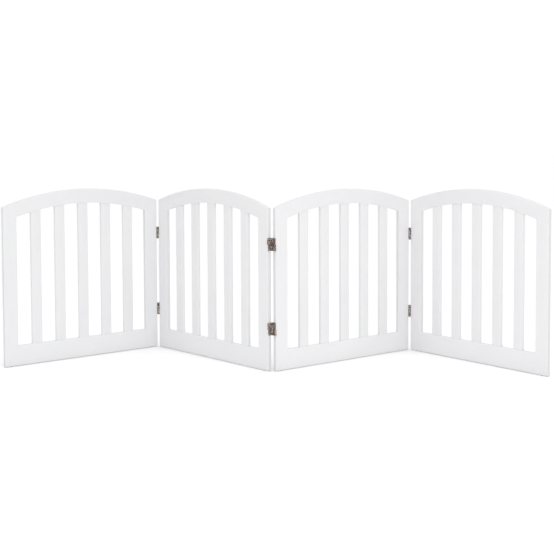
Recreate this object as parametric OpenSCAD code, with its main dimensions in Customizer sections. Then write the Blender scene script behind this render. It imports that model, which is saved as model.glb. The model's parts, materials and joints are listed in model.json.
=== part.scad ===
// Folding pet gate: four arched panels of flat slats, joined by two-way folding-screen hinges.
// Millimetres. The floor is z = 0, the front faces -Y, and the opened gate runs along X.

/* [Panels] */
// Width of one panel, end face to end face
panel_w = 610; // [480:1:750]
// Height of a panel at its ends, above the floor
side_h = 545; // [420:1:760]
// How far the middle of the arch stands above the ends
arch_rise = 52; // [30:1:80]
// Thickness of the stiles and rails
frame_t = 14; // [12:0.5:24]

/* [Frame pieces] */
// Width of the stiles
stile_w = 50; // [36:0.5:70]
// Height of the bottom rail
bottom_rail_h = 69; // [50:0.5:95]
// Depth of the arched top rail
top_rail_h = 49.5; // [36:0.5:70]
// Diameter of the dowels that join rails to stiles
dowel_d = 6; // [5:0.1:8]
// Length of a dowel
dowel_l = 34; // [24:1:40]
// Distance between the two dowels of one joint
dowel_pitch = 24; // [16:0.5:28]

/* [Slats] */
// Width of a slat
slat_w = 37; // [24:0.5:48]
// Thickness of a slat
slat_t = 11; // [8:0.5:11.5]
// Depth of the slat's face behind the frame's face
slat_set_back = 1.5; // [0.5:0.1:2]
// Depth that a slat's end is let into a rail
slat_let_in = 9; // [6:0.5:14]

/* [Fold at rest] */
// Angle that panels 1 and 2 are folded from straight
fold_12 = 86.5; // [20:0.5:150]
// Angle that panels 2 and 3 are folded from straight
fold_23 = 86; // [20:0.5:150]
// Angle that panels 3 and 4 are folded from straight
fold_34 = 88; // [20:0.5:150]
// Turn of the first panel away from the gate's own line
first_yaw = 43; // [10:0.5:75]

/* [Hinges] */
// Height of the middle of the lower hinges above the floor
hinge_low_z = 142; // [110:1:200]
// Height of the middle of the upper hinges above the floor
hinge_high_z = 424; // [300:1:450]
// Height of one hinge
hinge_h = 43; // [36:1:60]
// Gap between two panels' end faces when they stand straight
hinge_gap = 5; // [4.8:0.1:6]
// Thickness of a leaf
leaf_t = 1.2; // [1:0.05:1.3]
// Thickness of a link plate
link_t = 1.2; // [1:0.05:1.3]
// Distance of a pin's axis outside the panel's face
pin_proud = 2.4; // [2.3:0.1:4]
// Diameter of a hinge pin
pin_d = 2.2; // [1.8:0.1:2.4]
// Outer diameter of a knuckle
knuckle_d = 4.4; // [4:0.1:4.6]
// Diameter of a pin's head
pin_head_d = 3.4; // [3:0.1:4.2]
// Thickness of a pin's head
pin_head_h = 0.8; // [0.5:0.1:1.2]

/* [Screws and feet] */
// Distance between the three screws of a leaf
screw_pitch = 15; // [10:0.5:16]
// Diameter of a screw's shank
screw_d = 2.8; // [2:0.1:3.5]
// Diameter of a screw's countersunk head
screw_head_d = 5.2; // [4.2:0.1:6]
// Length of a screw
screw_l = 16; // [10:0.5:20]
// Diameter of a foot pad
foot_d = 11; // [8:0.5:12]
// Thickness of a foot pad
foot_h = 1; // [0.5:0.5:4]

/* [Clearances] */
// Radial play of a pin in a knuckle
pin_play = 0.05; // [0.02:0.01:0.1]
// Play between knuckles along the pin, and between the two halves of a hinge
knuckle_play = 0.2; // [0.1:0.05:0.5]
// Room round the other piece's knuckles where a link plate is notched
notch_play = 0.3; // [0.2:0.05:0.6]
// Glue gap round slat ends and dowels
glue_gap = 0.1; // [0.05:0.05:0.2]

/* [Hidden] */
$fn = 64;
PANELS = [1, 2, 3, 4];
SLATS = [1, 2, 3, 4, 5];
SCREWS_PER_LEAF = 3;
// Joints that fold about the front pins have their fronts facing each other
FOLDS_FORWARD = [true, false, true];

WOOD_NODES = ["left_stile", "right_stile", "bottom_rail", "top_rail"];
FITTING_NODES = ["dowels", "feet", "hinge_leaves", "hinge_links", "hinge_pins", "hinge_screws"];

paint = "#eceded";
beech = "#d9bd8c";
bronze = "#6b5a4a";
pin_bronze = "#8a7663";
steel = "#8f8a80";
rubber = "#3b3936";

// Panel outline
crown_h = side_h + arch_rise;
wood_z = foot_h;
outer_r = (pow(panel_w / 2, 2) + pow(arch_rise, 2)) / (2 * arch_rise);
inner_r = outer_r - top_rail_h;
arch_z = crown_h - outer_r;
rail_l = panel_w - 2 * stile_w;
slat_gap = (rail_l - len(SLATS) * slat_w) / (len(SLATS) + 1);
slat_bottom_z = wood_z + bottom_rail_h - slat_let_in;

// Hinge, measured from the middle of the gap and of the panel's thickness
half_gap = hinge_gap / 2;
pin_y = frame_t / 2 + pin_proud;
knuckle_r = knuckle_d / 2;
bore_r = pin_d / 2 + pin_play;
half_h = (hinge_h - knuckle_play) / 2;
knuckle_h = (half_h - 2 * knuckle_play) / 3;
knuckle_step = knuckle_h + knuckle_play;
plate_reach = pin_y - knuckle_r - notch_play;
hinge_heights = [hinge_low_z, hinge_high_z];
screw_offsets = [for (i = [0 : SCREWS_PER_LEAF - 1]) (i - (SCREWS_PER_LEAF - 1) / 2) * screw_pitch];

// Height of an arc of radius r, concentric with the arch, at a distance u from the panel's left end
function arc_z(r, u) = arch_z + sqrt(r * r - pow(u - panel_w / 2, 2));
function turned(p, a) = [p[0] * cos(a) - p[1] * sin(a), p[0] * sin(a) + p[1] * cos(a)];
function slat_u(s) = stile_w + slat_gap * s + slat_w * (s - 1);
function slat_top_z(s) = arc_z(inner_r, slat_u(s) + slat_w / 2) + slat_let_in;

// Where the panels stand: each panel's turn, then the place of its left front corner
yaws = [
    first_yaw,
    first_yaw - fold_12,
    first_yaw - fold_12 + fold_23,
    first_yaw - fold_12 + fold_23 - fold_34
];
function pin_v(j) = FOLDS_FORWARD[j - 1] ? -pin_proud : frame_t + pin_proud;
function chain_corner(p) = p == 1
    ? [0, 0]
    : chain_corner(p - 1)
        + turned([panel_w + half_gap, pin_v(p - 1)], yaws[p - 2])
        - turned([-half_gap, pin_v(p - 1)], yaws[p - 1]);
function has_hinge(p, end) = end == 0 ? p > 1 : p < len(PANELS);

// Every corner and every knuckle, as [x, y, radius], to centre the gate on its own box
outline = [
    for (p = PANELS) each concat(
        [for (u = [0, panel_w], v = [0, frame_t])
            concat(chain_corner(p) + turned([u, v], yaws[p - 1]), [0])],
        [for (end = [0, 1], v = [-pin_proud, frame_t + pin_proud]) if (has_hinge(p, end))
            concat(chain_corner(p) + turned([end * panel_w + (2 * end - 1) * half_gap, v], yaws[p - 1]),
                [knuckle_r])]
    )
];
function lowest(axis) = min([for (c = outline) c[axis] - c[2]]);
function highest(axis) = max([for (c = outline) c[axis] + c[2]]);
centre = [for (axis = [0, 1]) (lowest(axis) + highest(axis)) / 2];
function panel_corner(p) = chain_corner(p) - centre;
function pin_place(j) = panel_corner(j + 1) + turned([-half_gap, pin_v(j)], yaws[j]);

// Frame of one panel: X along its width, Y through its thickness, Z up
module in_panel(p) {
    translate([panel_corner(p)[0], panel_corner(p)[1], 0])
        rotate([0, 0, yaws[p - 1]])
            children();
}

// Puts its children at one end's hinges: end 0 is the left end, end 1 the right end
module at_hinges(end) {
    for (z = hinge_heights)
        translate([end * panel_w + (2 * end - 1) * half_gap, frame_t / 2, z])
            children();
}

// Flat board of thickness t between the heights of its 2D outline, front face at y
module board(y, t) {
    translate([0, y + t, 0])
        rotate([90, 0, 0])
            linear_extrude(t)
                children();
}

module outer_disc() {
    translate([panel_w / 2, arch_z])
        circle(r = outer_r, $fn = 720);
}

module inner_disc() {
    translate([panel_w / 2, arch_z])
        circle(r = inner_r, $fn = 720);
}

// Heights of the two dowels in each end of a rail
function joint_mid_z(top) = top
    ? (arc_z(outer_r, stile_w) + arc_z(inner_r, stile_w)) / 2
    : wood_z + bottom_rail_h / 2;
module at_dowels(ends) {
    for (end = ends, top = [false, true], side = [-1, 1])
        translate([
            end == 0 ? stile_w : panel_w - stile_w,
            frame_t / 2,
            joint_mid_z(top) + side * dowel_pitch / 2
        ])
            rotate([0, 90, 0])
                children();
}

module dowel_holes(ends) {
    at_dowels(ends)
        cylinder(d = dowel_d + 2 * glue_gap, h = dowel_l + 2 * glue_gap, center = true);
}

module pilot_holes(end) {
    at_hinges(end)
        rotate([0, end == 0 ? 90 : -90, 0])
            for (z = screw_offsets)
                translate([(end == 0 ? -1 : 1) * z, 0, 0])
                    cylinder(d = screw_d + 2 * pin_play, h = half_gap + screw_l);
}

module stile(p, end) {
    color(paint)
        in_panel(p)
            difference() {
                board(0, frame_t)
                    intersection() {
                        translate([end * (panel_w - stile_w), wood_z])
                            square([stile_w, crown_h]);
                        outer_disc();
                    }
                dowel_holes([end]);
                if (has_hinge(p, end)) pilot_holes(end);
            }
}

// Pockets for the ends of the slats, between two heights for slat s
module mortise(s, z0, z1) {
    translate([slat_u(s) - glue_gap, slat_set_back - glue_gap, z0])
        cube([slat_w + 2 * glue_gap, slat_t + 2 * glue_gap, z1 - z0]);
}

module bottom_rail(p) {
    color(paint)
        in_panel(p)
            difference() {
                board(0, frame_t)
                    translate([stile_w, wood_z])
                        square([rail_l, bottom_rail_h]);
                for (s = SLATS) mortise(s, slat_bottom_z, slat_bottom_z + 2 * slat_let_in);
                dowel_holes([0, 1]);
            }
}

module top_rail(p) {
    color(paint)
        in_panel(p)
            difference() {
                board(0, frame_t)
                    difference() {
                        intersection() {
                            outer_disc();
                            translate([stile_w, side_h - 2 * top_rail_h])
                                square([rail_l, 3 * top_rail_h + arch_rise]);
                        }
                        inner_disc();
                    }
                for (s = SLATS) mortise(s, slat_top_z(s) - 3 * slat_let_in, slat_top_z(s));
                dowel_holes([0, 1]);
            }
}

module slat(p, s) {
    color(paint)
        in_panel(p)
            translate([slat_u(s), slat_set_back, slat_bottom_z])
                cube([slat_w, slat_t, slat_top_z(s) - slat_bottom_z]);
}

module dowels(p) {
    color(beech)
        in_panel(p)
            at_dowels([0, 1])
                cylinder(d = dowel_d, h = dowel_l, center = true);
}

module feet(p) {
    color(rubber)
        in_panel(p)
            for (u = [stile_w / 2, panel_w - stile_w / 2])
                translate([u, frame_t / 2, 0])
                    cylinder(d = foot_d, h = foot_h);
}

// Knuckles at steps i of the upper half, on the pin at the front (side -1) or back (side 1)
module knuckles(steps, side, plate_x, plate_t) {
    for (i = steps)
        translate([0, 0, knuckle_play / 2 + i * knuckle_step])
            difference() {
                union() {
                    translate([0, side * pin_y, 0])
                        cylinder(r = knuckle_r, h = knuckle_h);
                    translate([plate_x, side > 0 ? 0 : -pin_y, 0])
                        cube([plate_t, pin_y, knuckle_h]);
                }
                translate([0, side * pin_y, -1])
                    cylinder(r = bore_r, h = knuckle_h + 2);
            }
}

// Leaf of the left panel: its upper half turns on the front pin, its lower half on the back pin
module leaf() {
    difference() {
        union() {
            translate([-half_gap, -frame_t / 2, -hinge_h / 2])
                cube([leaf_t, frame_t, hinge_h]);
            knuckles([0, 2], -1, -half_gap, leaf_t);
            mirror([0, 0, 1]) knuckles([0, 2], 1, -half_gap, leaf_t);
        }
        for (z = screw_offsets)
            translate([-half_gap, 0, z])
                rotate([0, 90, 0]) {
                    translate([0, 0, -1])
                        cylinder(d = screw_d + 2 * pin_play, h = leaf_t + 2);
                    cylinder(d1 = screw_d + 2 * pin_play, d2 = screw_head_d + 2 * pin_play, h = leaf_t);
                }
    }
}

// Link plate of the upper half, with one knuckle on the front pin and one on the back pin
module link() {
    translate([-link_t / 2, -plate_reach, knuckle_play / 2])
        cube([link_t, 2 * plate_reach, half_h]);
    for (side = [-1, 1])
        knuckles([1], side, -link_t / 2, link_t);
}

module pin() {
    translate([0, 0, knuckle_play / 2])
        cylinder(d = pin_d, h = half_h);
    translate([0, 0, hinge_h / 2])
        cylinder(d = pin_head_d, h = pin_head_h);
}

// Pins that stay with the left panel's leaf
module leaf_pins() {
    translate([0, -pin_y, 0]) pin();
    mirror([0, 0, 1]) translate([0, pin_y, 0]) pin();
}

module screw() {
    head_h = leaf_t;
    tip_h = 4;
    slot_w = 0.6;
    slot_h = 0.7;
    difference() {
        rotate([0, -90, 0])
            rotate_extrude()
                polygon([
                    [0, -head_h],
                    [screw_head_d / 2, -head_h],
                    [screw_d / 2, 0],
                    [screw_d / 2, screw_l - head_h - tip_h],
                    [0, screw_l - head_h]
                ]);
        for (a = [0, 90])
            rotate([a, 0, 0])
                translate([leaf_t - slot_h, -slot_w / 2, -screw_head_d / 3])
                    cube([slot_h + 1, slot_w, 2 * screw_head_d / 3]);
    }
}

module leaf_screws() {
    for (z = screw_offsets)
        translate([-half_gap, 0, z])
            screw();
}

// Draws its children at every hinge of panel p, turned so that they suit the panel's side
module at_panel_leaves(p) {
    in_panel(p)
        for (end = [0, 1])
            if (has_hinge(p, end))
                at_hinges(end)
                    rotate([0, 0, end == 0 ? 180 : 0])
                        children();
}

module hinge_leaves(p) {
    color(bronze)
        at_panel_leaves(p)
            leaf();
}

module hinge_pins(p) {
    color(pin_bronze)
        at_panel_leaves(p)
            leaf_pins();
}

module hinge_screws(p) {
    color(steel)
        at_panel_leaves(p)
            leaf_screws();
}

// A joint that folds forward holds its upper links to the right panel and its lower links to the left
module hinge_links(p) {
    color(bronze)
        in_panel(p)
            for (end = [0, 1])
                if (has_hinge(p, end)) {
                    forward = FOLDS_FORWARD[end == 0 ? p - 2 : p - 1];
                    upper = (end == 0) == forward;
                    at_hinges(end)
                        mirror([0, 0, upper ? 0 : 1])
                            link();
                }
}

for (p = PANELS) {
    stile(p, 0);
    stile(p, 1);
    bottom_rail(p);
    top_rail(p);
    for (s = SLATS) {
        slat(p, s);
    }
    dowels(p);
    feet(p);
    hinge_leaves(p);
    hinge_links(p);
    hinge_pins(p);
    hinge_screws(p);
}
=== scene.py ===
"""Folding pet gate: arched panels of painted boards on two-way folding-screen hinges."""

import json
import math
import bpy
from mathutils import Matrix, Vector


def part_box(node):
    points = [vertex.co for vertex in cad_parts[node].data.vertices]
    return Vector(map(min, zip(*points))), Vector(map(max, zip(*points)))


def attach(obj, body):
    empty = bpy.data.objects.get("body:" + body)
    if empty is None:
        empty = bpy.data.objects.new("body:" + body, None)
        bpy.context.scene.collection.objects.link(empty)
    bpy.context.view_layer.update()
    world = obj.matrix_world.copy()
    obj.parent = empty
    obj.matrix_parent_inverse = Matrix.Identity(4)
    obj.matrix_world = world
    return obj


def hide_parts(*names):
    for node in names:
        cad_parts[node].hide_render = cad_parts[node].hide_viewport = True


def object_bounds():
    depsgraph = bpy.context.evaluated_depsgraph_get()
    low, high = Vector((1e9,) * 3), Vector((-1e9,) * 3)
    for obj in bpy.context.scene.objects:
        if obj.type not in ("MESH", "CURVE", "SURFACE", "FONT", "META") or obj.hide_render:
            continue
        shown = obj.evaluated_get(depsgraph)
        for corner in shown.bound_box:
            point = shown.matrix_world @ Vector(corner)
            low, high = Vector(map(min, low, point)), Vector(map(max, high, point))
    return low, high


bl_info = {
    "name": "Folding Pet Gate",
    "version": (1, 0, 0),
    "blender": (4, 5, 0),
    "location": "View3D > Sidebar > Pet Gate",
    "description": "Builds the painted boards, hinges and studio of a folding pet gate round its frame",
    "category": "Object",
}

import bpy
from mathutils import Matrix, Vector

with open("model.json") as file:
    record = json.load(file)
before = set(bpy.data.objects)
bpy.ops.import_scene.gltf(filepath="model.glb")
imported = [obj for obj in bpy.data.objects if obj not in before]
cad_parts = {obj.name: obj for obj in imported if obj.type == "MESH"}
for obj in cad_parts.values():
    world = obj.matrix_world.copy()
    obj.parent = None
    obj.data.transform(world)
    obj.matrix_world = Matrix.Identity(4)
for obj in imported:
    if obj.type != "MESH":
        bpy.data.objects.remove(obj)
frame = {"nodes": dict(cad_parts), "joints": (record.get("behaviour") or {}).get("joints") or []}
CAD_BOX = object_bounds()

PANELS = (1, 2, 3, 4)
SLATS = (1, 2, 3, 4, 5)
MM = 0.001
UP = Vector((0, 0, 1))
FLIP = Matrix.Scale(-1, 4, UP)
HALF_TURN = Matrix.Rotation(math.pi, 4, "Z")

# Ends of a panel, faces of a board and halves of a hinge.
LEFT, RIGHT = 0, 1
FRONT, BACK = -1, 1
UPPER, LOWER = 1, -1
KNUCKLES = 3

# How much of a normal lies along an axis, for a face that looks that way and for a sawn end.
FACING = 0.9
SQUARE = 0.99

# Faces that meet at less than this angle are shaded smooth.
SMOOTH_BELOW = math.radians(30)

# Flat sides of small round pieces, and steps round a softened corner.
SMALL_SIDES = 32
CORNER_STEPS = 4


# ---------------------------------------------------------------- settings


def length(name, description, default):
    """A size in metres that a user can change."""
    return bpy.props.FloatProperty(
        name=name, description=description, default=default, min=0.0, precision=4, subtype="DISTANCE"
    )


def colour(name, description, default):
    """A colour that a user can change."""
    return bpy.props.FloatVectorProperty(
        name=name, description=description, default=default, min=0.0, max=1.0, size=3, subtype="COLOR"
    )


def amount(name, description, default, highest):
    """A plain number that a user can change, from nothing to its highest."""
    return bpy.props.FloatProperty(
        name=name, description=description, default=default, min=0.0, max=highest
    )


class GateBoards(bpy.types.PropertyGroup):
    """Sizes of the boards of one panel."""

    stile: length("Stile width", "Width of the upright boards at a panel's ends", 50 * MM)
    thickness: length("Board thickness", "Thickness of the stiles and rails", 14 * MM)
    bottom_rail: length("Bottom rail", "Height of the bottom rail's top above the floor", 70 * MM)
    top_rail: length("Top rail", "Depth of the arched top rail", 49.5 * MM)
    arch_rise: length("Arch rise", "How far the arch's middle stands above its ends", 52 * MM)
    round_over: length("Round-over", "Radius of the routed edges of the frame", 1.8 * MM)
    slat_width: length("Slat width", "Width of a slat", 37 * MM)
    slat_thickness: length("Slat thickness", "Thickness of a slat", 11 * MM)
    slat_round_over: length("Slat round-over", "Radius of the slats' long edges", 1.4 * MM)
    joint_line: length("Joint line", "Size of the fine groove where two painted boards meet", 0.12 * MM)
    mortise_gap: length("Mortise gap", "Gap round a slat's end in its mortise", 0.1 * MM)
    foot: length("Foot pad", "Diameter of the pads under the stiles", 11 * MM)
    arch_steps: bpy.props.IntProperty(
        name="Arch steps", description="Straight steps along the arch of the opening", default=56, min=8
    )


class GateHinges(bpy.types.PropertyGroup):
    """Sizes of a two-way hinge."""

    low: length("Lower hinge", "Height of the lower hinges' middle above the floor", 142 * MM)
    high: length("Upper hinge", "Height of the upper hinges' middle above the floor", 424 * MM)
    height: length("Hinge height", "Height of one hinge", 43 * MM)
    gap: length("Gap", "Gap between the end faces of two panels that stand straight", 5 * MM)
    leaf: length("Leaf thickness", "Thickness of a leaf screwed to an end face", 1.2 * MM)
    link: length("Link thickness", "Thickness of the link plate between two leaves", 1.2 * MM)
    proud: length("Pin distance", "Distance of a pin's axis outside the panel's face", 2.4 * MM)
    pin: length("Pin diameter", "Diameter of a hinge pin", 2.2 * MM)
    pin_head: length("Pin head", "Diameter of a pin's domed head", 3.4 * MM)
    pin_head_height: length("Pin head height", "Height of a pin's domed head", 0.8 * MM)
    knuckle: length("Knuckle diameter", "Outer diameter of a knuckle", 4.4 * MM)
    play: length("Knuckle play", "Play between knuckles along the pin", 0.2 * MM)
    bore_play: length("Bore play", "Radial play of a pin in its knuckle", 0.05 * MM)
    notch_play: length("Notch play", "Room round the other plate's knuckles", 0.3 * MM)
    screw_pitch: length("Screw pitch", "Distance between the three screws of a leaf", 15 * MM)
    screw_head: length("Screw head", "Diameter of a countersunk screw's head", 5.2 * MM)
    corner: length("Plate corner", "Radius of the plates' corners", 1.5 * MM)
    edge: length("Plate edge", "Softening of every stamped edge", 0.14 * MM)


class GateFinish(bpy.types.PropertyGroup):
    """Colours of the gate's finishes."""

    paint: colour("Paint", "White satin paint on the faces", (0.857, 0.857, 0.864))
    # Darker copy of the white paint: painted shade on the frame boards' narrow edges.
    frame_edge: colour(
        "Paint on frame edges", "The same paint, thinner on the frame boards' edges", (0.77, 0.77, 0.776)
    )
    # Slightly darker copy of the white paint: faint painted shade on the slats' narrow sides.
    slat_edge: colour(
        "Paint on slat edges", "The same paint on the slats' narrow sides", (0.85, 0.85, 0.856)
    )
    undercoat: colour("Undercoat", "Primer that shows through on worn corners", (0.66, 0.64, 0.60))
    bronze: colour("Bronze", "Aged finish of the hinges", (0.075, 0.059, 0.051))
    bronze_rub: colour(
        "Rubbed bronze", "The hinges' finish where it is rubbed bright", (0.77, 0.665, 0.615)
    )
    rubber: colour("Rubber", "Foot pads", (0.045, 0.042, 0.04))
    beech: colour("Beech", "Bare wood of the dowels", (0.62, 0.44, 0.26))


class GateStudio(bpy.types.PropertyGroup):
    """Camera and lights of the studio."""

    camera_place: bpy.props.FloatVectorProperty(
        name="Camera place", description="Where the camera stands", default=(0.340, -4.049, 0.8202),
        subtype="TRANSLATION",
    )
    camera_heading: bpy.props.FloatProperty(
        name="Heading", description="Turn of the view to the left of straight ahead",
        default=math.radians(4.705), subtype="ANGLE",
    )
    camera_dip: bpy.props.FloatProperty(
        name="Dip", description="Angle of the view below level", default=math.radians(3.391),
        subtype="ANGLE",
    )
    camera_tilt: bpy.props.FloatProperty(
        name="Tilt", description="Small lean of the camera to one side", default=math.radians(-0.225),
        subtype="ANGLE",
    )
    lens: bpy.props.FloatProperty(name="Lens", description="Focal length", default=76.2, unit="CAMERA")
    shift: bpy.props.FloatProperty(name="Shift", description="Rise of the picture", default=-0.1498)
    sky: amount("Sky", "Strength of the white surroundings as a light", 0.62, highest=4.0)
    backdrop: amount(
        "Backdrop", "Brightness of the white surroundings as seen behind the gate", 1.06, highest=4.0
    )
    overhead: amount(
        "Overhead light", "Strength of the broad light from straight above", 1.4, highest=20.0
    )
    key: amount("Key light", "Power of the soft box at the front right, in watts", 15.0, highest=500.0)
    fill: amount("Fill light", "Power of the soft box at the front left, in watts", 1.5, highest=500.0)
    floor: colour("Floor", "Pale floor", (0.96, 0.96, 0.96))


# ------------------------------------------------------- modelling by hand


def deselect():
    """Nothing stays selected or active."""
    if bpy.context.object and bpy.context.object.mode != "OBJECT":
        bpy.ops.object.mode_set(mode="OBJECT")
    bpy.ops.object.select_all(action="DESELECT")


def pick(piece):
    """Only this piece is selected, and it is active."""
    deselect()
    piece.select_set(True)
    bpy.context.view_layer.objects.active = piece


def block(name, low, high):
    """A board between two corners."""
    deselect()
    low, high = Vector(low), Vector(high)
    bpy.ops.mesh.primitive_cube_add(size=1, location=(low + high) / 2, scale=high - low)
    piece = bpy.context.object
    piece.name = name
    bpy.ops.object.transform_apply(location=True, rotation=True, scale=True)
    return piece


def rod(name, centre, radius, depth, sides=40):
    """An upright round bar about its centre."""
    deselect()
    bpy.ops.mesh.primitive_cylinder_add(vertices=sides, radius=radius, depth=depth, location=centre)
    piece = bpy.context.object
    piece.name = name
    bpy.ops.object.transform_apply(location=True, rotation=True, scale=True)
    return piece


def score(piece, place, normal):
    """Adds the edges where a plane crosses the piece."""
    pick(piece)
    bpy.ops.object.mode_set(mode="EDIT")
    bpy.ops.mesh.select_all(action="SELECT")
    bpy.ops.mesh.bisect(plane_co=place, plane_no=normal)
    bpy.ops.object.mode_set(mode="OBJECT")


def select_faces(piece, test):
    """Selects the faces for which test(centre, normal) holds, and nothing else."""
    pick(piece)
    bpy.ops.object.mode_set(mode="EDIT")
    bpy.ops.mesh.select_mode(type="FACE")
    bpy.ops.mesh.select_all(action="DESELECT")
    bpy.ops.object.mode_set(mode="OBJECT")
    for face in piece.data.polygons:
        face.select = test(face.center, face.normal)


def round_edges(piece, radius, segments=3, sharper_than=35):
    """Rounds every edge sharper than an angle."""
    pick(piece)
    bevel = piece.modifiers.new("Round-over", "BEVEL")
    bevel.width = radius
    bevel.segments = segments
    bevel.limit_method = "ANGLE"
    bevel.angle_limit = math.radians(sharper_than)
    bpy.ops.object.modifier_apply(modifier=bevel.name)


def carve(piece, tool, operation="DIFFERENCE"):
    """Takes a tool's shape from the piece, or adds it, and deletes the tool."""
    pick(piece)
    boolean = piece.modifiers.new("Carve", "BOOLEAN")
    boolean.operation = operation
    boolean.solver = "EXACT"
    boolean.object = tool
    bpy.ops.object.modifier_apply(modifier=boolean.name)
    bpy.data.objects.remove(tool)


def joined(name, pieces):
    """Several pieces as one object."""
    deselect()
    for piece in pieces:
        piece.select_set(True)
    bpy.context.view_layer.objects.active = pieces[0]
    bpy.ops.object.join()
    pieces[0].name = name
    return pieces[0]


def copied(piece, name, place=Matrix.Identity(4)):
    """A copy with its own mesh, moved by a matrix within that mesh."""
    mesh = piece.data.copy()
    mesh.transform(place)
    if place.determinant() < 0:
        mesh.flip_normals()
    mesh.name = name
    copy = bpy.data.objects.new(name, mesh)
    bpy.context.collection.objects.link(copy)
    return copy


def finish_piece(piece, body, nodes, materials):
    """Smooths the piece, gives it its finish and puts it on its body."""
    pick(piece)
    bpy.ops.object.shade_smooth_by_angle(angle=SMOOTH_BELOW)
    while len(piece.data.materials) < len(materials):
        piece.data.materials.append(None)
    for place, material in enumerate(materials):
        piece.data.materials[place] = material
    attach(piece, body)
    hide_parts(*nodes)
    piece.select_set(False)


# -------------------------------------------------------------- the panels


def middle(node):
    """Centre of a CAD node's box."""
    low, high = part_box(node)
    return (low + high) / 2


def panel_place(p, boards):
    """Matrix from a panel's own axes, X along it, Y through it and Z up, to the frame."""
    left, right = middle(f"left_stile_{p}"), middle(f"right_stile_{p}")
    along = right - left
    turn = Matrix.Rotation(math.atan2(along.y, along.x), 4, "Z")
    corner = left - turn @ Vector((boards.stile / 2, boards.thickness / 2, 0))
    corner.z = 0
    return Matrix.Translation(corner) @ turn


def panel_width(boards):
    """Width of a panel, from the places of its stiles."""
    return (middle("right_stile_1") - middle("left_stile_1")).to_2d().length + boards.stile


def arch(boards):
    """(outer radius, inner radius, height of the centre) of the arched top rail."""
    half = panel_width(boards) / 2
    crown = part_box("top_rail_1")[1].z
    outer = (half**2 + boards.arch_rise**2) / (2 * boards.arch_rise)
    return outer, outer - boards.top_rail, crown - outer


def arc_height(radius, centre_height, offset):
    """Height of an arc at a distance to one side of its middle."""
    return centre_height + math.sqrt(radius**2 - offset**2)


def frame_ring(boards):
    """The four frame boards of a panel as one ring with routed edges."""
    width = panel_width(boards)
    outer, inner, centre = arch(boards)
    floor_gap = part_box("bottom_rail_1")[0].z
    crown = centre + outer
    spring = crown - boards.arch_rise - 2 * boards.top_rail
    ring = block("panel_ring", (0, 0, floor_gap), (width, boards.thickness, crown))
    opening = width - 2 * boards.stile
    stile_steps = 5
    columns = [boards.stile * i / stile_steps for i in range(1, stile_steps)]
    columns += [width - u for u in columns]
    columns += [boards.stile + opening * i / boards.arch_steps for i in range(boards.arch_steps + 1)]
    for u in columns:
        score(ring, (u, 0, 0), (1, 0, 0))
    for z in (boards.bottom_rail, spring):
        score(ring, (0, 0, z), UP)
    for vertex in ring.data.vertices:
        offset = vertex.co.x - width / 2
        if vertex.co.z > crown - MM:
            vertex.co.z = arc_height(outer, centre, offset)
        elif vertex.co.z > spring - MM:
            vertex.co.z = arc_height(inner, centre, min(abs(offset), opening / 2))
    select_faces(
        ring,
        lambda place, normal: abs(normal.y) > FACING
        and abs(place.x - width / 2) < opening / 2
        and boards.bottom_rail < place.z < spring + boards.top_rail + boards.arch_rise - MM
        and place.z < arc_height(inner, centre, place.x - width / 2) - MM,
    )
    bpy.ops.object.mode_set(mode="EDIT")
    bpy.ops.mesh.delete(type="FACE")
    bpy.ops.mesh.select_mode(type="EDGE")
    bpy.ops.mesh.select_non_manifold()
    bpy.ops.mesh.bridge_edge_loops()
    bpy.ops.mesh.select_all(action="SELECT")
    bpy.ops.mesh.normals_make_consistent(inside=False)
    bpy.ops.object.mode_set(mode="OBJECT")
    round_edges(ring, boards.round_over)
    return ring


def groove_cut(piece, u, boards):
    """Eases the rim of a sawn end, so that a fine line shows where two boards meet."""
    nearly = MM / 10
    select_faces(piece, lambda place, normal: abs(normal.x) > SQUARE and abs(place.x - u) < nearly)
    bpy.ops.object.mode_set(mode="EDIT")
    bpy.ops.mesh.region_to_loop()
    bpy.ops.mesh.bevel(offset=boards.joint_line, segments=1, affect="EDGES")
    bpy.ops.object.mode_set(mode="OBJECT")


def sawn_boards(boards):
    """The ring sawn into its stiles and rails, as {name: piece}."""
    ring = frame_ring(boards)
    width = panel_width(boards)
    left, right = boards.stile, width - boards.stile
    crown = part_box("top_rail_1")[1].z
    room = 10 * MM
    back = boards.thickness + room
    saws = {
        "left_stile": ((-room, -room, -room), (left, back, crown)),
        "right_stile": ((right, -room, -room), (width + room, back, crown)),
        "bottom_rail": ((left, -room, -room), (right, back, crown / 2)),
        "top_rail": ((left, -room, crown / 2), (right, back, crown + room)),
    }
    made = {}
    for name, (low, high) in saws.items():
        board = copied(ring, name + "_pattern")
        carve(board, block("saw", low, high), "INTERSECT")
        made[name] = board
    for name in ("bottom_rail", "top_rail"):
        for u in (left, right):
            groove_cut(made[name], u, boards)
    bpy.data.objects.remove(ring)
    return made


def slat_limits(p, s, boards):
    """Lowest and highest corner of a slat in its panel's own axes."""
    low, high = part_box(f"slat_{p}_{s}")
    centre = panel_place(p, boards).inverted() @ ((low + high) / 2)
    half = Vector((boards.slat_width, boards.slat_thickness, high.z - low.z)) / 2
    return centre - half, centre + half


def mortise_tool(boards):
    """Blocks in the places of a panel's slats, a little larger, to cut their mortises."""
    gap = Vector((boards.mortise_gap, boards.mortise_gap, 0))
    blocks = []
    for s in SLATS:
        low, high = slat_limits(1, s, boards)
        blocks.append(block(f"mortise_{s}", low - gap, high + gap))
    return joined("mortises", blocks)


def paint_edges(piece):
    """Gives the boards' narrow edges the second material, the darker paint that is painted shade on
    those edges.
    """
    face_paint, shaded_edge_paint = 0, 1
    half_turned = 0.5
    for _ in (face_paint, shaded_edge_paint):
        piece.data.materials.append(None)
    for face in piece.data.polygons:
        face.material_index = face_paint if abs(face.normal.y) > half_turned else shaded_edge_paint


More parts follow.
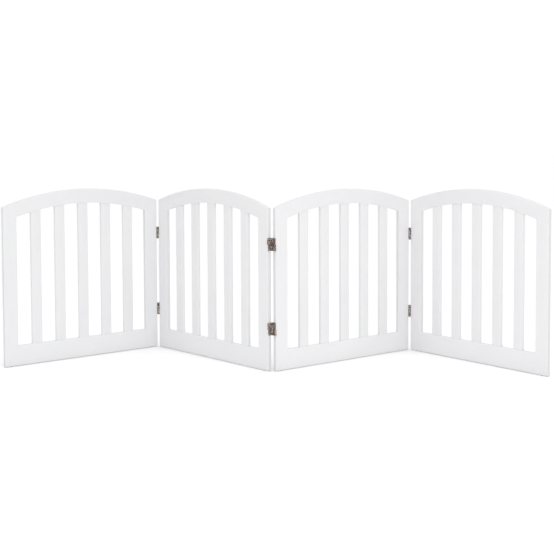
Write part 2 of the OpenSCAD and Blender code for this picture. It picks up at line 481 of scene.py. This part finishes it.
class GATE_OT_frames(bpy.types.Operator):
    """Builds the stiles and rails of every panel"""

    bl_idname = "gate.frames"
    bl_label = "Stiles and rails"

    def execute(self, context):
        boards = context.scene.gate_boards
        patterns = sawn_boards(boards)
        for name in ("bottom_rail", "top_rail"):
            carve(patterns[name], mortise_tool(boards))
        for name, pattern in patterns.items():
            paint_edges(pattern)
            grain = "along" if name.endswith("rail") else "up"
            for p in PANELS:
                piece = copied(pattern, f"board_{name}_{p}", panel_place(p, boards))
                finish_piece(piece, f"panel_{p}", [f"{name}_{p}"], paints(p, grain))
            bpy.data.objects.remove(pattern)
        return {"FINISHED"}


class GATE_OT_slats(bpy.types.Operator):
    """Builds the upright slats of every panel"""

    bl_idname = "gate.slats"
    bl_label = "Slats"

    def execute(self, context):
        boards = context.scene.gate_boards
        for s in SLATS:
            pattern = block(f"slat_pattern_{s}", *slat_limits(1, s, boards))
            round_edges(pattern, boards.slat_round_over)
            paint_edges(pattern)
            for p in PANELS:
                piece = copied(pattern, f"board_slat_{p}_{s}", panel_place(p, boards))
                # The slats' narrow sides take the darker paint, faint painted shade.
                coats = paints(p, "up", "slat_edge")
                finish_piece(piece, f"panel_{p}", [f"slat_{p}_{s}"], coats)
            bpy.data.objects.remove(pattern)
        return {"FINISHED"}


# --------------------------------------------------------------- materials


class Tree:
    """Short calls to add and link nodes in one node tree."""

    def __init__(self, tree):
        self.tree = tree
        tree.nodes.clear()

    def add(self, kind, inputs=None, **settings):
        """Adds a node, sets its settings, and sets or links its inputs."""
        node = self.tree.nodes.new(kind)
        for key, value in settings.items():
            setattr(node, key, value)
        for key, value in (inputs or {}).items():
            if isinstance(value, bpy.types.NodeSocket):
                self.link(value, node.inputs[key])
            else:
                node.inputs[key].default_value = value
        return node

    def link(self, source, socket):
        """Links an output to an input."""
        self.tree.links.new(source, socket)

    def math(self, operation, first, second=0.0, clamp=False):
        """Arithmetic on two values."""
        node = self.add("ShaderNodeMath", {0: first, 1: second}, operation=operation, use_clamp=clamp)
        return node.outputs[0]

    def noise(self, vector, scale, detail=3.0, roughness=0.5):
        """Noise from 0 to 1."""
        inputs = {"Vector": vector, "Scale": scale, "Detail": detail, "Roughness": roughness}
        return self.add("ShaderNodeTexNoise", inputs).outputs["Fac"]

    def spread(self, value, low, high, to_low=0.0, to_high=1.0):
        """Stretches the values from low to high over another range, and keeps them inside it."""
        inputs = {"Value": value, "From Min": low, "From Max": high, "To Min": to_low, "To Max": to_high}
        return self.add("ShaderNodeMapRange", inputs, clamp=True).outputs[0]

    def mix(self, factor, first, second):
        """Mixes two colours."""
        first_colour, second_colour, mixed_colour = 6, 7, 2
        inputs = {"Factor": factor, first_colour: first, second_colour: second}
        return self.add("ShaderNodeMix", inputs, data_type="RGBA").outputs[mixed_colour]


def effect_group(name, inputs, outputs):
    """An empty shader node group with named sockets, and its Tree, input and output nodes."""
    group = bpy.data.node_groups.new(name, "ShaderNodeTree")
    tree = Tree(group)
    for socket, kind, default in inputs:
        made = group.interface.new_socket(name=socket, in_out="INPUT", socket_type="NodeSocket" + kind)
        if default is not None:
            made.default_value = default
    for socket, kind in outputs:
        group.interface.new_socket(name=socket, in_out="OUTPUT", socket_type="NodeSocket" + kind)
    return group, tree, tree.add("NodeGroupInput").outputs, tree.add("NodeGroupOutput")


def painted_wood_group():
    """Roller-painted wood: cloudy colour, faint grain, paint stipple and worn corners."""
    if "painted_wood" in bpy.data.node_groups:
        return bpy.data.node_groups["painted_wood"]
    group, tree, given, result = effect_group(
        "painted_wood",
        [
            ("Point", "Vector", None),
            ("Grain", "Vector", None),
            ("Pointiness", "Float", 0.5),
            ("Paint", "Color", (0.87, 0.87, 0.87, 1)),
            ("Undercoat", "Color", (0.6, 0.58, 0.55, 1)),
            ("Wear", "Float", 0.3),
        ],
        [("Color", "Color"), ("Roughness", "Float"), ("Height", "Float")],
    )
    clouds = tree.noise(given["Point"], scale=7.0, detail=2.0)
    grain = tree.noise(given["Grain"], scale=190.0, detail=5.0, roughness=0.6)
    stipple = tree.noise(given["Point"], scale=1100.0, detail=2.0)
    chips = tree.noise(given["Point"], scale=260.0, detail=4.0, roughness=0.7)
    shade = tree.spread(clouds, low=0.3, high=0.7, to_low=0.98, to_high=1.0)
    fine = tree.spread(grain, low=0.35, high=0.75, to_low=0.988, to_high=1.0)
    tint = tree.math("MULTIPLY", shade, fine)
    blue_kept = 0.7
    shaded = tree.add("ShaderNodeVectorMath", {0: given["Paint"], 1: (1, 1, 1)}, operation="MULTIPLY")
    blue = tree.math("POWER", tint, blue_kept)
    grey = tree.add("ShaderNodeCombineXYZ", {"X": tint, "Y": tint, "Z": blue})
    tree.link(grey.outputs[0], shaded.inputs[1])
    corner = tree.spread(given["Pointiness"], low=0.52, high=0.62)
    rubbed = tree.spread(chips, low=0.5, high=0.72)
    worn = tree.math("MULTIPLY", tree.math("MULTIPLY", corner, rubbed), given["Wear"])
    tone = tree.mix(worn, shaded.outputs[0], given["Undercoat"])
    satin = tree.spread(stipple, low=0.3, high=0.7, to_low=0.36, to_high=0.46)
    duller = tree.spread(clouds, low=0.3, high=0.7, to_low=0, to_high=0.08)
    gloss = tree.math("ADD", satin, duller)
    grain_share, stipple_share = 0.55, 0.45
    grain_relief = tree.math("MULTIPLY", grain, grain_share)
    relief = tree.math("ADD", grain_relief, tree.math("MULTIPLY", stipple, stipple_share))
    for socket, value in (("Color", tone), ("Roughness", gloss), ("Height", relief)):
        tree.link(value, result.inputs[socket])
    return group


def aged_metal_group():
    """Aged bronze: dark mottled finish, rubbed bright in patches."""
    if "aged_metal" in bpy.data.node_groups:
        return bpy.data.node_groups["aged_metal"]
    group, tree, given, result = effect_group(
        "aged_metal",
        [
            ("Point", "Vector", None),
            ("Dark", "Color", (0.1, 0.08, 0.06, 1)),
            ("Bright", "Color", (0.4, 0.33, 0.27, 1)),
            ("Rub", "Float", 0.8),
        ],
        [("Color", "Color"), ("Roughness", "Float"), ("Height", "Float")],
    )
    mottle = tree.noise(given["Point"], scale=190.0, detail=5.0, roughness=0.62)
    specks = tree.noise(given["Point"], scale=1900.0, detail=3.0, roughness=0.6)
    patina = tree.spread(mottle, low=0.40, high=0.58)
    pitted = tree.spread(specks, low=0.2, high=0.5, to_low=0.35, to_high=1.0)
    bright = tree.math("MULTIPLY", tree.math("MULTIPLY", patina, pitted), given["Rub"])
    tone = tree.mix(bright, given["Dark"], given["Bright"])
    gloss = tree.spread(mottle, low=0.35, high=0.65, to_low=0.55, to_high=0.34)
    mottle_share, speck_share = 0.6, 0.4
    mottle_relief = tree.math("MULTIPLY", mottle, mottle_share)
    relief = tree.math("ADD", mottle_relief, tree.math("MULTIPLY", specks, speck_share))
    for socket, value in (("Color", tone), ("Roughness", gloss), ("Height", relief)):
        tree.link(value, result.inputs[socket])
    return group


def opaque(rgb):
    """A colour with full cover."""
    return (*rgb, 1.0)


def coated(name, effect, height, strength, **shader):
    """A material of one effect node, with its relief as bump; returns it and its Tree."""
    material = bpy.data.materials.new(name)
    material.use_nodes = True
    tree = Tree(material.node_tree)
    made = tree.add("ShaderNodeGroup", node_tree=effect)
    bump = tree.add(
        "ShaderNodeBump", {"Strength": strength, "Distance": height, "Height": made.outputs["Height"]}
    )
    sockets = {key.replace("_", " "): value for key, value in shader.items()}
    surface = tree.add(
        "ShaderNodeBsdfPrincipled",
        {
            "Base Color": made.outputs["Color"],
            "Roughness": made.outputs["Roughness"],
            "Normal": bump.outputs[0],
            **sockets,
        },
    )
    tree.add("ShaderNodeOutputMaterial", {"Surface": surface.outputs[0]})
    return material, tree, made


def own_point(tree, turn=0.0, scale=(1.0, 1.0, 1.0)):
    """Object coordinates, turned about Z and then stretched."""
    place = tree.add("ShaderNodeTexCoord").outputs["Object"]
    turned = tree.add("ShaderNodeMapping", {"Vector": place, "Rotation": (0, 0, turn)})
    stretched = tree.add("ShaderNodeMapping", {"Vector": turned.outputs[0], "Scale": scale})
    return stretched.outputs[0]


def paint_material(name, tone, turn, grain_scale, wear):
    """White satin paint whose faint grain runs along its board."""
    if name in bpy.data.materials:
        return bpy.data.materials[name]
    finish = bpy.context.scene.gate_finish
    material, tree, made = coated(
        name,
        painted_wood_group(),
        height=0.25 * MM,
        strength=0.18,
        Specular_IOR_Level=0.4,
        Coat_Weight=0.06,
    )
    made.inputs["Paint"].default_value = opaque(tone)
    made.inputs["Undercoat"].default_value = opaque(finish.undercoat)
    made.inputs["Wear"].default_value = wear
    tree.link(own_point(tree), made.inputs["Point"])
    tree.link(own_point(tree, turn, grain_scale), made.inputs["Grain"])
    tree.link(tree.add("ShaderNodeNewGeometry").outputs["Pointiness"], made.inputs["Pointiness"])
    return material


def paints(p, grain, edge="frame_edge"):
    """Face paint and edge paint of panel p, for boards whose grain runs up or along it. The edge paint
    is a darker copy, painted shade on the narrow edges.
    """
    finish = bpy.context.scene.gate_finish
    place = panel_place(p, bpy.context.scene.gate_boards)
    turn = -place.to_euler().z
    stretch = 0.05
    scale = (1, 1, stretch) if grain == "up" else (stretch, 1, 1)
    return [
        paint_material(f"white_paint_{grain}_{p}", finish.paint, turn, scale, wear=0.25),
        # Darker edge paint: painted shade on the narrow edges.
        paint_material(f"white_paint_{edge}_{grain}_{p}", getattr(finish, edge), turn, scale, wear=0.45),
    ]


def bronze_material(name="aged_bronze", rub=0.8):
    """Aged bronze finish of the hinges."""
    if name in bpy.data.materials:
        return bpy.data.materials[name]
    finish = bpy.context.scene.gate_finish
    material, tree, made = coated(
        name, aged_metal_group(), height=0.06 * MM, strength=0.35, Metallic=0.85
    )
    made.inputs["Dark"].default_value = opaque(finish.bronze)
    made.inputs["Bright"].default_value = opaque(finish.bronze_rub)
    made.inputs["Rub"].default_value = rub
    tree.link(own_point(tree), made.inputs["Point"])
    return material


def rubber_material():
    """Matt rubber with a little floor dust."""
    finish = bpy.context.scene.gate_finish
    material = bpy.data.materials.new("foot_rubber")
    material.use_nodes = True
    tree = Tree(material.node_tree)
    point = own_point(tree)
    dust_clouds = tree.noise(point, scale=320.0, detail=4.0, roughness=0.65)
    dust = tree.spread(dust_clouds, low=0.45, high=0.75)
    pores = tree.noise(point, scale=2400.0, detail=2.0)
    paler, most_dust = 3.2, 0.5
    dusty = tuple(min(1.0, paler * value) for value in finish.rubber)
    tone = tree.mix(tree.math("MULTIPLY", dust, most_dust), opaque(finish.rubber), opaque(dusty))
    bump = tree.add("ShaderNodeBump", {"Strength": 0.3, "Distance": 0.08 * MM, "Height": pores})
    gloss = tree.spread(dust, low=0, high=1, to_low=0.62, to_high=0.85)
    inputs = {"Base Color": tone, "Roughness": gloss, "Specular IOR Level": 0.3}
    surface = tree.add("ShaderNodeBsdfPrincipled", {**inputs, "Normal": bump.outputs[0]})
    tree.add("ShaderNodeOutputMaterial", {"Surface": surface.outputs[0]})
    return material


def beech_material():
    """Bare beech with short dark flecks."""
    finish = bpy.context.scene.gate_finish
    material = bpy.data.materials.new("beech_dowel")
    material.use_nodes = True
    tree = Tree(material.node_tree)
    point = own_point(tree)
    upright = own_point(tree, scale=(1, 1, 6))
    grain = tree.noise(upright, scale=240.0, detail=5.0, roughness=0.6)
    flecks = tree.spread(tree.noise(point, scale=900.0, detail=2.0), low=0.6, high=0.7)
    darkest, fleck_share = 0.72, 0.4
    darker = tuple(darkest * value for value in finish.beech)
    lines = tree.spread(grain, low=0.35, high=0.65, to_low=0, to_high=0.6)
    factor = tree.math("ADD", lines, tree.math("MULTIPLY", flecks, fleck_share), clamp=True)
    tone = tree.mix(factor, opaque(finish.beech), opaque(darker))
    bump = tree.add("ShaderNodeBump", {"Strength": 0.3, "Distance": 0.1 * MM, "Height": grain})
    gloss = tree.spread(grain, low=0.3, high=0.7, to_low=0.55, to_high=0.7)
    inputs = {"Base Color": tone, "Roughness": gloss}
    surface = tree.add("ShaderNodeBsdfPrincipled", {**inputs, "Normal": bump.outputs[0]})
    tree.add("ShaderNodeOutputMaterial", {"Surface": surface.outputs[0]})
    return material


# ----------------------------------------------------- hinges and fittings


def plate(name, low, high, corner):
    """A stamped plate, thin along X, with rounded corners."""
    made = block(name, low, high)
    pick(made)
    bpy.ops.object.mode_set(mode="EDIT")
    bpy.ops.mesh.select_mode(type="EDGE")
    bpy.ops.mesh.select_all(action="DESELECT")
    bpy.ops.object.mode_set(mode="OBJECT")
    for edge in made.data.edges:
        first, second = (made.data.vertices[i].co for i in edge.vertices)
        edge.select = abs((second - first).normalized().x) > FACING
    bpy.ops.object.mode_set(mode="EDIT")
    bpy.ops.mesh.bevel(offset=corner, segments=CORNER_STEPS, affect="EDGES")
    bpy.ops.object.mode_set(mode="OBJECT")
    return made


def half_height(hinges):
    """Height of the upper or lower half of a hinge."""
    return (hinges.height - hinges.play) / 2


def knuckle_span(hinges, step, half):
    """Lowest and highest point of a knuckle, some steps above or below the hinge's middle."""
    tall = (half_height(hinges) - (KNUCKLES - 1) * hinges.play) / KNUCKLES
    low = hinges.play / 2 + step * (tall + hinges.play)
    return sorted((half * low, half * (low + tall)))


def pin_distance(hinges, boards):
    """Distance of a pin's axis from the middle of the panel's thickness."""
    return boards.thickness / 2 + hinges.proud


def add_knuckle(piece, hinges, boards, step, half, side, plate_low, plate_high):
    """Curls the plate round the pin at its front or back, with a strap rooted in the plate."""
    low, high = knuckle_span(hinges, step, half)
    reach = pin_distance(hinges, boards)
    root = boards.thickness / 4
    near, far = sorted((side * reach, side * root))
    carve(piece, block("strap", (plate_low, near, low), (plate_high, far, high)), "UNION")
    curl = rod("curl", (0, side * reach, (low + high) / 2), hinges.knuckle / 2, high - low)
    carve(piece, curl, "UNION")


def bore(piece, hinges, boards, half, side):
    """Drills the pin's hole through one half of a hinge piece."""
    centre = (0, side * pin_distance(hinges, boards), half * hinges.height / 4)
    radius = hinges.pin / 2 + hinges.bore_play
    drill = rod("drill", centre, radius, hinges.height / 2, sides=SMALL_SIDES)
    carve(piece, drill)


def screw_heights(hinges):
    """Heights of the three screws from the hinge's middle."""
    return [step * hinges.screw_pitch for step in (-1, 0, 1)]


def leaf_pattern(hinges, boards):
    """Leaf of the left panel: curled round the front pin above and the back pin below."""
    inner, outer = -hinges.gap / 2, -hinges.gap / 2 + hinges.leaf
    half = boards.thickness / 2
    tall = hinges.height / 2
    leaf = plate("leaf_pattern", (inner, -half, -tall), (outer, half, tall), hinges.corner)
    for side, level in ((FRONT, UPPER), (BACK, LOWER)):
        for step in (0, KNUCKLES - 1):
            add_knuckle(leaf, hinges, boards, step, level, side, inner, outer)
        bore(leaf, hinges, boards, level, side)
    narrow, wide = hinges.screw_head / 4, hinges.screw_head / 2 + hinges.bore_play
    past_both_faces = 1.02
    for z in screw_heights(hinges):
        deselect()
        bpy.ops.mesh.primitive_cone_add(
            vertices=SMALL_SIDES,
            radius1=narrow,
            radius2=wide,
            depth=hinges.leaf * past_both_faces,
            location=((inner + outer) / 2, 0, z),
            rotation=(0, math.pi / 2, 0),
        )
        bpy.ops.object.transform_apply(location=True, rotation=True, scale=True)
        carve(leaf, bpy.context.object)
    round_edges(leaf, hinges.edge, segments=2, sharper_than=40)
    return leaf


def link_pattern(hinges, boards):
    """Link plate of the upper half, curled round the front pin and the back pin."""
    thin = hinges.link / 2
    reach = pin_distance(hinges, boards) - hinges.knuckle / 2 - hinges.notch_play
    low, high = hinges.play / 2, hinges.play / 2 + half_height(hinges)
    link = plate("link_pattern", (-thin, -reach, low), (thin, reach, high), hinges.corner / 3)
    between = 1
    for side in (FRONT, BACK):
        add_knuckle(link, hinges, boards, between, UPPER, side, -thin, thin)
        bore(link, hinges, boards, UPPER, side)
    round_edges(link, hinges.edge, segments=2, sharper_than=40)
    return link


def pin_pattern(hinges):
    """Pin of the upper half about its own axis, with a domed head on top."""
    low, tall = hinges.play / 2, half_height(hinges)
    pin = rod("pin_pattern", (0, 0, low + tall / 2), hinges.pin / 2, tall, sides=SMALL_SIDES)
    top = low + tall
    head_tall = hinges.pin_head_height
    head = rod("head", (0, 0, top + head_tall / 2), hinges.pin_head / 2, head_tall)
    select_faces(head, lambda place, normal: normal.z > FACING)
    domed_share = 0.7
    bpy.ops.object.mode_set(mode="EDIT")
    bpy.ops.mesh.bevel(offset=head_tall * domed_share, segments=CORNER_STEPS, affect="EDGES")
    bpy.ops.object.mode_set(mode="OBJECT")
    return joined("pin_pattern", [pin, head])


def hinge_places(p, end, hinges, boards):
    """Matrices to the two hinges at a panel's left or right end."""
    half_gap = hinges.gap / 2
    u = panel_width(boards) + half_gap if end == RIGHT else -half_gap
    middles = [Matrix.Translation((u, boards.thickness / 2, z)) for z in (hinges.low, hinges.high)]
    return [panel_place(p, boards) @ place for place in middles]


def hinged_ends(p):
    """The ends of a panel that carry hinges."""
    ends = {LEFT: p > PANELS[0], RIGHT: p < PANELS[-1]}
    return [end for end, hinged in ends.items() if hinged]


def folds_forward(p, end):
    """True if the joint at that end of the panel turns on its front pins."""
    left_panel = p - 1 if end == LEFT else p
    joints = {joint["name"]: joint for joint in frame["joints"]}
    place = joints[f"fold_{left_panel}_{left_panel + 1}"]["pos_m"]
    pin = panel_place(p, bpy.context.scene.gate_boards).inverted() @ Vector(place)
    return pin.y < 0


class GATE_OT_hinges(bpy.types.Operator):
    """Builds the leaves, link plates and pins of the two-way hinges"""

    bl_idname = "gate.hinges"
    bl_label = "Hinges"

    def execute(self, context):
        hinges, boards = context.scene.gate_hinges, context.scene.gate_boards
        leaf, link, pin = leaf_pattern(hinges, boards), link_pattern(hinges, boards), pin_pattern(hinges)
        reach = pin_distance(hinges, boards)
        front_pin = Matrix.Translation((0, -reach, 0))
        back_pin = FLIP @ Matrix.Translation((0, reach, 0))
        for p in PANELS:
            made = {"hinge_leaves": [], "hinge_links": [], "hinge_pins": []}
            for end in hinged_ends(p):
                turned = HALF_TURN if end == LEFT else Matrix.Identity(4)
                upper = (end == LEFT) == folds_forward(p, end)
                for place in hinge_places(p, end, hinges, boards):
                    made["hinge_leaves"].append(copied(leaf, "leaf", place @ turned))
                    made["hinge_links"].append(copied(link, "link", place if upper else place @ FLIP))
                    made["hinge_pins"].append(copied(pin, "pin", place @ turned @ front_pin))
                    made["hinge_pins"].append(copied(pin, "pin", place @ turned @ back_pin))
            for node, pieces in made.items():
                piece = joined(f"bronze_{node}_{p}", pieces)
                metal = bronze_material()
                if node == "hinge_pins":
                    metal = bronze_material("pin_bronze", rub=1.0)
                finish_piece(piece, f"panel_{p}", [f"{node}_{p}"], [metal])
        for pattern in (leaf, link, pin):
            bpy.data.objects.remove(pattern)
        return {"FINISHED"}


class GATE_OT_feet(bpy.types.Operator):
    """Builds the foot pads under the stiles"""

    bl_idname = "gate.feet"
    bl_label = "Foot pads"

    def execute(self, context):
        boards = context.scene.gate_boards
        rubber = rubber_material()
        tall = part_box("feet_1")[1].z
        radius = boards.foot / 2
        pattern = rod("foot_pattern", (0, 0, tall / 2), radius, tall, sides=SMALL_SIDES)
        round_edges(pattern, tall / 4, segments=2)
        for p in PANELS:
            pads = []
            for u in (boards.stile / 2, panel_width(boards) - boards.stile / 2):
                place = panel_place(p, boards) @ Matrix.Translation((u, boards.thickness / 2, 0))
                pads.append(copied(pattern, "pad", place))
            piece = joined(f"rubber_feet_{p}", pads)
            finish_piece(piece, f"panel_{p}", [f"feet_{p}"], [rubber])
        bpy.data.objects.remove(pattern)
        return {"FINISHED"}


def coat_node(node, material):
    """Gives a CAD node its material."""
    mesh = frame["nodes"][node].data
    mesh.materials.clear()
    mesh.materials.append(material)


class GATE_OT_hidden(bpy.types.Operator):
    """Gives the screws and dowels their finishes"""

    bl_idname = "gate.hidden"
    bl_label = "Screws and dowels"

    def execute(self, context):
        screw, beech = bronze_material("screw_bronze", rub=1.0), beech_material()
        for p in PANELS:
            coat_node(f"hinge_screws_{p}", screw)
            coat_node(f"dowels_{p}", beech)
        return {"FINISHED"}


# ------------------------------------------------------------------ studio

# Sizes and places in metres, the camera's sensor in millimetres.
FLOOR_SIZE = 60
FLOOR_ROUGHNESS = 0.9
SUN_PLACE = (0, 0, 3)
SUN_SPREAD = math.radians(70)
AIM = (0, 0, 0.3)
KEY_PLACE = (1.0, -2.8, 1.6)
KEY_SIZE = 1.0
FILL_PLACE = (-2.4, -2.4, 1.4)
FILL_SIZE = 1.2
SENSOR_WIDTH = 36


def soft_box(name, place, target, size, power):
    """A square area light that faces a point."""
    deselect()
    bpy.ops.object.light_add(type="AREA", location=place)
    lamp = bpy.context.object
    lamp.name = name
    lamp.data.shape = "SQUARE"
    lamp.data.size = size
    lamp.data.energy = power
    lamp.rotation_euler = (Vector(target) - Vector(place)).to_track_quat("-Z", "Y").to_euler()


class GATE_OT_studio(bpy.types.Operator):
    """Sets up the floor, the white surroundings, the lights and the camera"""

    bl_idname = "gate.studio"
    bl_label = "Studio"

    def execute(self, context):
        studio = context.scene.gate_studio
        deselect()
        bpy.ops.mesh.primitive_plane_add(size=FLOOR_SIZE, location=(0, 0, CAD_BOX[0].z))
        floor = context.object
        floor.name = "studio_floor"
        material = bpy.data.materials.new("studio_floor")
        material.use_nodes = True
        surface = material.node_tree.nodes["Principled BSDF"]
        surface.inputs["Base Color"].default_value = opaque(studio.floor)
        surface.inputs["Roughness"].default_value = FLOOR_ROUGHNESS
        floor.data.materials.append(material)

        world = bpy.data.worlds.new("white_surroundings")
        context.scene.world = world
        world.use_nodes = True
        tree = Tree(world.node_tree)
        seen = tree.add("ShaderNodeLightPath").outputs["Is Camera Ray"]
        strength = tree.spread(seen, low=0.0, high=1.0, to_low=studio.sky, to_high=studio.backdrop)
        sky = tree.add("ShaderNodeBackground", {"Color": (1, 1, 1, 1), "Strength": strength})
        tree.add("ShaderNodeOutputWorld", {"Surface": sky.outputs[0]})
        context.scene.view_settings.view_transform = "Standard"

        bpy.ops.object.light_add(type="SUN", location=SUN_PLACE)
        overhead = context.object
        overhead.name = "overhead_light"
        overhead.data.energy = studio.overhead
        overhead.data.angle = SUN_SPREAD
        soft_box("key_light", KEY_PLACE, AIM, KEY_SIZE, studio.key)
        soft_box("fill_light", FILL_PLACE, AIM, FILL_SIZE, studio.fill)

        bpy.ops.object.camera_add(location=studio.camera_place)
        camera = context.object
        camera.name = "studio_camera"
        level = math.pi / 2 - studio.camera_dip
        turn = Matrix.Rotation(studio.camera_heading, 4, "Z") @ Matrix.Rotation(level, 4, "X")
        camera.rotation_euler = (turn @ Matrix.Rotation(studio.camera_tilt, 4, "Z")).to_euler()
        camera.data.lens = studio.lens
        camera.data.sensor_width = SENSOR_WIDTH
        camera.data.shift_y = studio.shift
        context.scene.camera = camera
        return {"FINISHED"}


class GATE_PT_panel(bpy.types.Panel):
    """Lists the steps that build the gate"""

    bl_idname = "GATE_PT_panel"
    bl_label = "Folding Pet Gate"
    bl_space_type = "VIEW_3D"
    bl_region_type = "UI"
    bl_category = "Pet Gate"

    def draw(self, context):
        for group in SETTINGS:
            settings = getattr(context.scene, group)
            box = self.layout.box()
            for name in settings.__annotations__:
                box.prop(settings, name)
        for step in STEPS:
            self.layout.operator(step.bl_idname)


SETTINGS = {
    "gate_boards": GateBoards,
    "gate_hinges": GateHinges,
    "gate_finish": GateFinish,
    "gate_studio": GateStudio,
}
STEPS = (GATE_OT_frames, GATE_OT_slats, GATE_OT_hinges, GATE_OT_feet, GATE_OT_hidden, GATE_OT_studio)
CLASSES = (*SETTINGS.values(), *STEPS, GATE_PT_panel)


def register():
    """Registers the classes and puts the settings on the scene."""
    for made in CLASSES:
        bpy.utils.register_class(made)
    for name, group in SETTINGS.items():
        setattr(bpy.types.Scene, name, bpy.props.PointerProperty(type=group))


def unregister():
    """Takes the settings and the classes away."""
    for name in SETTINGS:
        delattr(bpy.types.Scene, name)
    for made in reversed(CLASSES):
        bpy.utils.unregister_class(made)


def main():
    """Builds the whole gate and its studio."""
    register()
    bpy.ops.gate.frames()
    bpy.ops.gate.slats()
    bpy.ops.gate.hinges()
    bpy.ops.gate.feet()
    bpy.ops.gate.hidden()
    bpy.ops.gate.studio()


if __name__ == "__main__":
    main()
